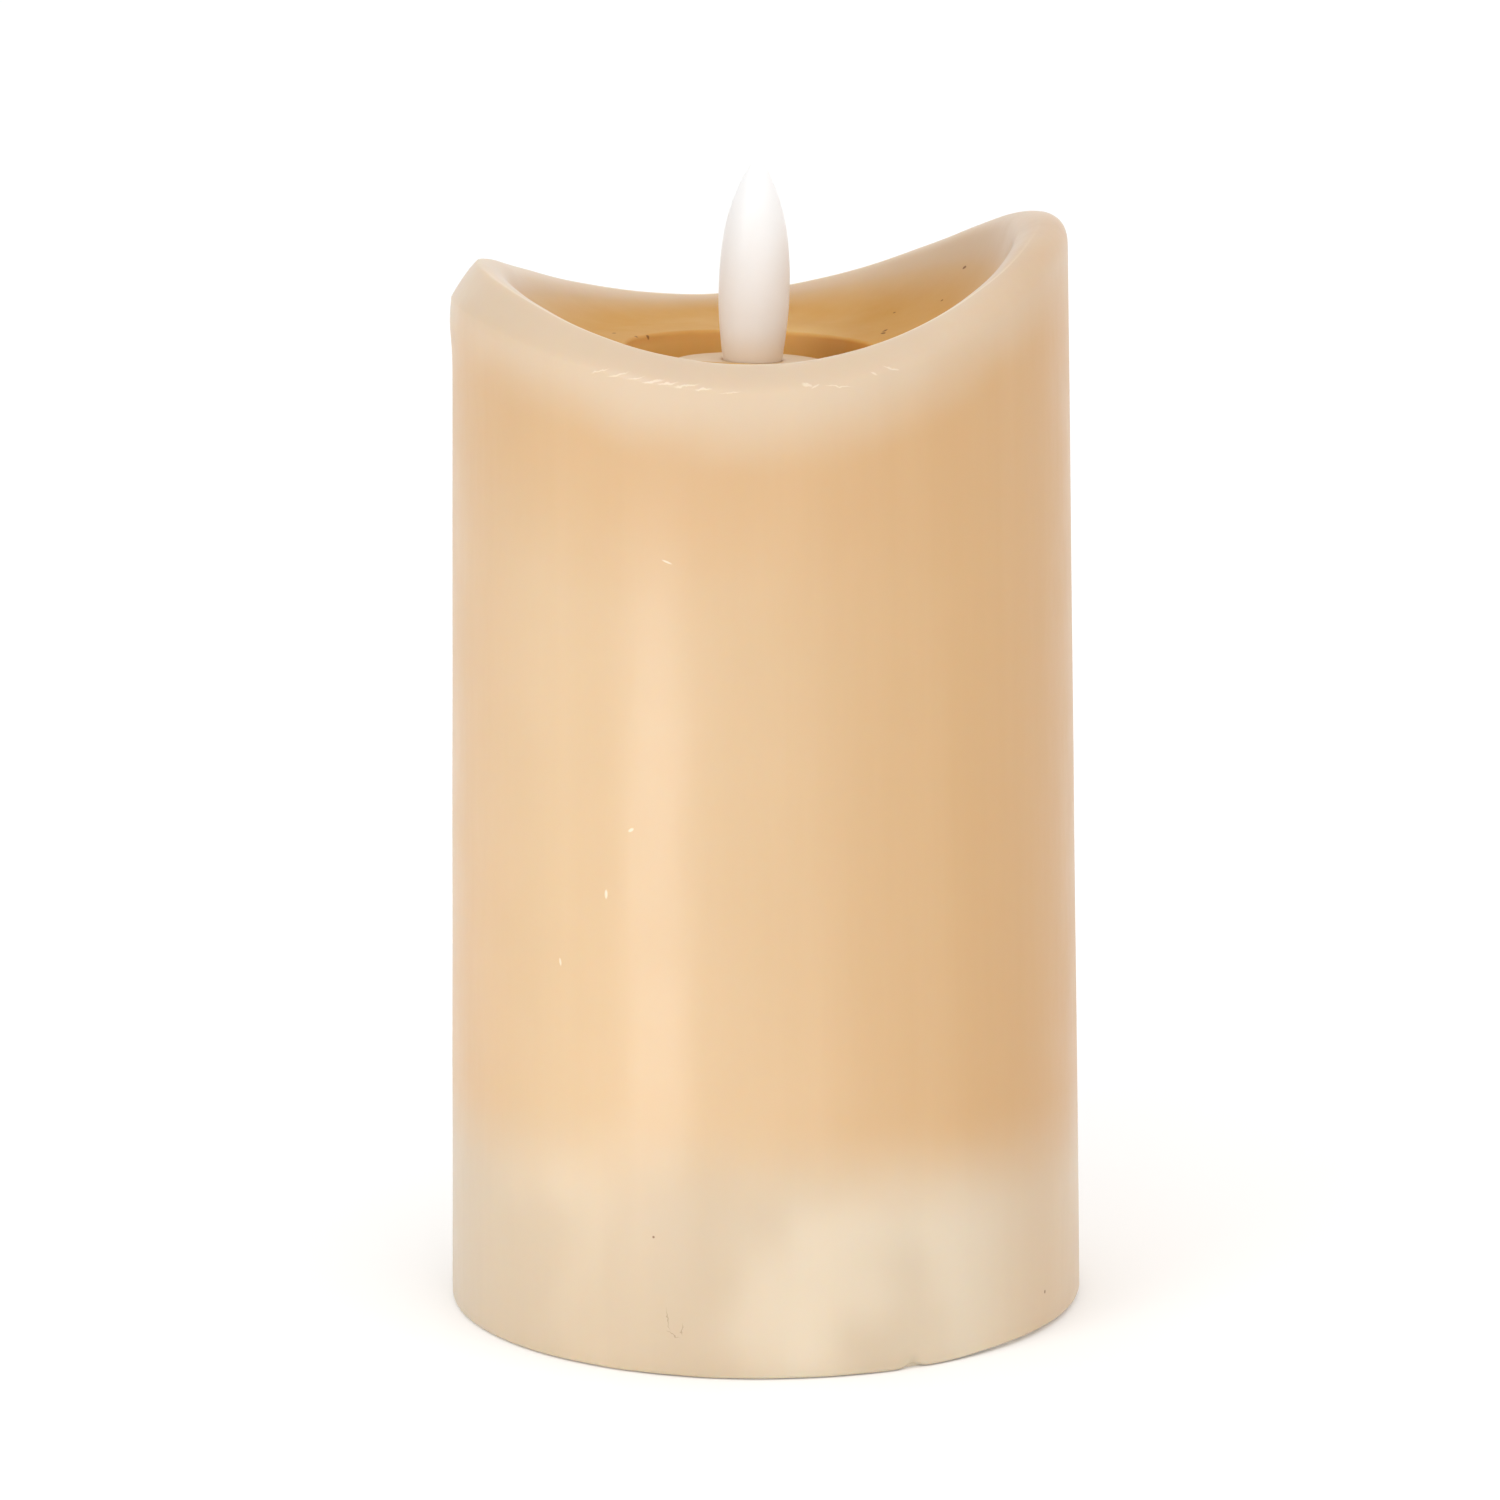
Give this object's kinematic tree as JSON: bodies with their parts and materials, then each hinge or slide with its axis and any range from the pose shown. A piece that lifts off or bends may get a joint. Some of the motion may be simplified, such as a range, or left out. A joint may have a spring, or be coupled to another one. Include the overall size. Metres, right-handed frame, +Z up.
{
  "type": "flameless led candle",
  "caption": "Flameless pillar candle: hollow wax shell with a scalloped rim and pool, opal flame on a collar, and a battery base with slide switch and door.",
  "frame": {"origin": "centre of the face that the candle stands on", "axes": "+Z up along the candle, +Y towards its back, +X towards the right, where the rim is highest, seen from the front"},
  "size_m": [0.0782, 0.0782, 0.1416],
  "materials": {
    "wax": "satin cast wax",
    "flame_opal": "satin opal plastic",
    "collar": "satin moulded plastic",
    "base_plastic": "fine-textured moulded plastic",
    "plug_plastic": "moulded plastic",
    "led_lens": "clear amber epoxy",
    "cell_jacket": "printed film over a steel can",
    "steel": "nickel plated",
    "board": "solder mask over glass laminate",
    "black_plastic": "moulded plastic",
    "resistor_body": "lacquered",
    "capacitor_sleeve": "shrink sleeve",
    "wire_red": "soft plastic insulation",
    "wire_black": "soft plastic insulation"
  },
  "bodies": {
    "candle": {"aa_cell_front": "cell_jacket", "aa_cell_rear": "cell_jacket", "base_body": "base_plastic", "base_lid": "base_plastic", "battery_lead_black": "wire_black", "battery_lead_red": "wire_red", "board_screw_1": "steel", "board_screw_2": "steel", "bridge_contact": "steel", "bridge_spring": "steel", "capacitor": "capacitor_sleeve", "control_board": "board", "flame_bulb": "flame_opal", "flame_collar": "collar", "flame_lead_black": "wire_black", "flame_lead_red": "wire_red", "flame_led": "led_lens", "led_plug": "plug_plastic", "lid_screw_1": "steel", "lid_screw_2": "steel", "lid_screw_3": "steel", "lid_screw_4": "steel", "negative_contact": "steel", "negative_spring": "steel", "positive_contact": "steel", "resistor": "resistor_body", "switch_body": "black_plastic", "switch_frame": "steel", "timer_chip": "black_plastic", "timer_crystal": "steel", "wax_shell": "wax"},
    "switch": {"switch_knob": "black_plastic"},
    "door": {"battery_door": "base_plastic"}
  },
  "joints": [
    {"name": "switch_slide", "type": "slide", "parent": "candle", "child": "switch", "axis": [1, 0, 0], "range_m": [-0.002, 0.002]},
    {"name": "door_hinge", "type": "hinge", "parent": "candle", "child": "door", "pos_m": [0, 0.0173, 0.0006], "axis": [1, 0, 0], "range_deg": [0, 90]}
  ]
}
